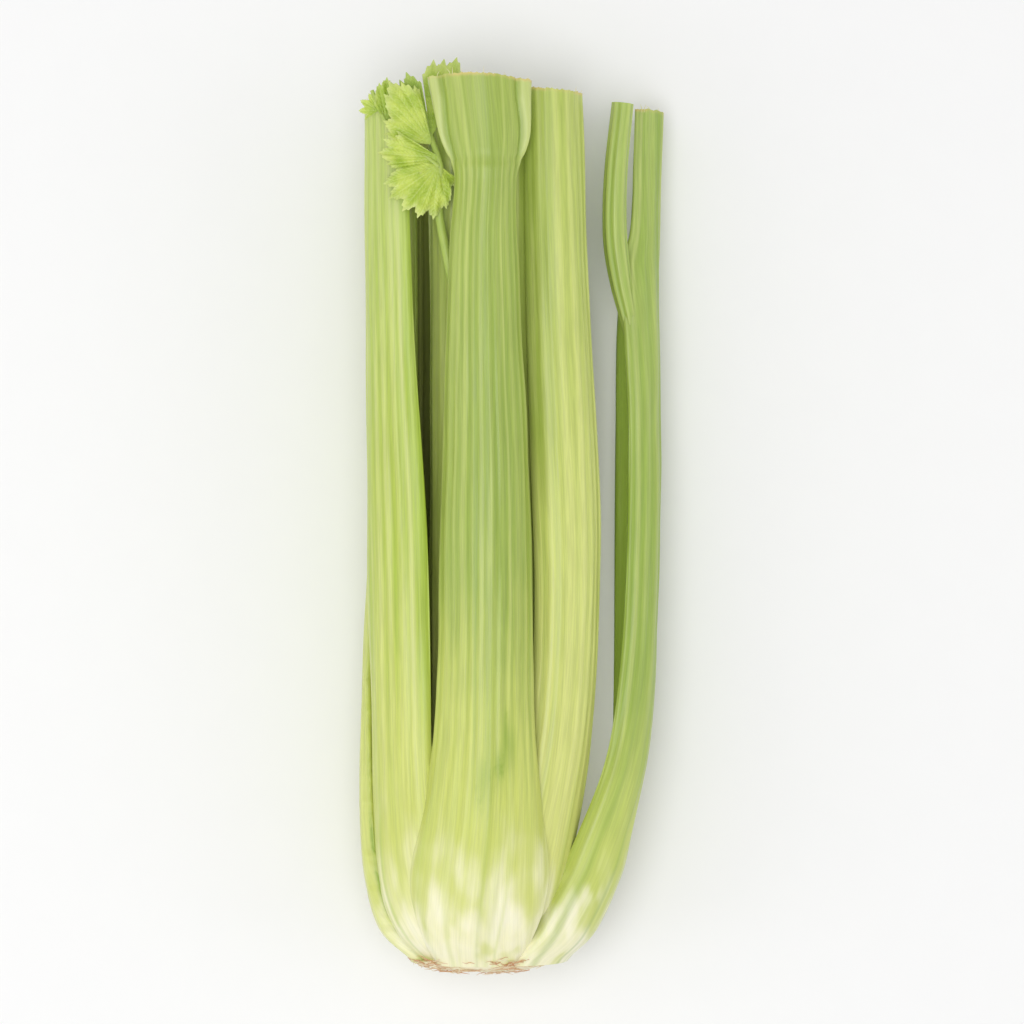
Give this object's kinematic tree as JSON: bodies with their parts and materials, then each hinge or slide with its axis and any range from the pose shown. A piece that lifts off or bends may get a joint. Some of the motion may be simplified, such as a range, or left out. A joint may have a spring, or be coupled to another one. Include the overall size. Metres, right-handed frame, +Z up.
{
  "type": "head of celery",
  "caption": "Head of celery lying on its back: ribbed stalks joined at a cut root, tops trimmed flat, a forked stalk splayed to the right and a spray of lobed leaves at the upper left.",
  "frame": {"origin": "middle of the bounding box's bottom, on the surface that the head lies on", "axes": "+Y along the head, from its cut root to its cut tops; +Z up, towards the side that faces the viewer; +X to the right as seen from above"},
  "size_m": [0.1105, 0.3272, 0.0754],
  "materials": {
    "root": "cut root plate, cream with a browned fibrous rim, matt",
    "stalk": "ribbed pale green stalk, cream at the root, moist and half glossy",
    "dark_stalk": "ribbed darker green stalk, moist and half glossy",
    "inner_stalk": "smooth yellow-green inner stalk, moist and half glossy",
    "leaf": "thin light green leaf, veined, soft sheen"
  },
  "bodies": {
    "root": {"crown": "root", "front_stalk": "stalk", "left_front_stalk": "stalk", "right_front_stalk": "stalk", "left_stalk": "stalk", "left_back_stalk": "stalk", "right_back_stalk": "stalk", "splayed_stalk": "dark_stalk", "inner_stalk_1": "inner_stalk", "inner_stalk_2": "inner_stalk", "inner_stalk_3": "inner_stalk", "inner_stalk_4": "inner_stalk", "inner_stalk_5": "inner_stalk", "heart_stalk_1": "inner_stalk", "heart_stalk_2": "inner_stalk", "heart_stalk_3": "inner_stalk", "front_leaf_spray": "leaf"}
  },
  "joints": []
}
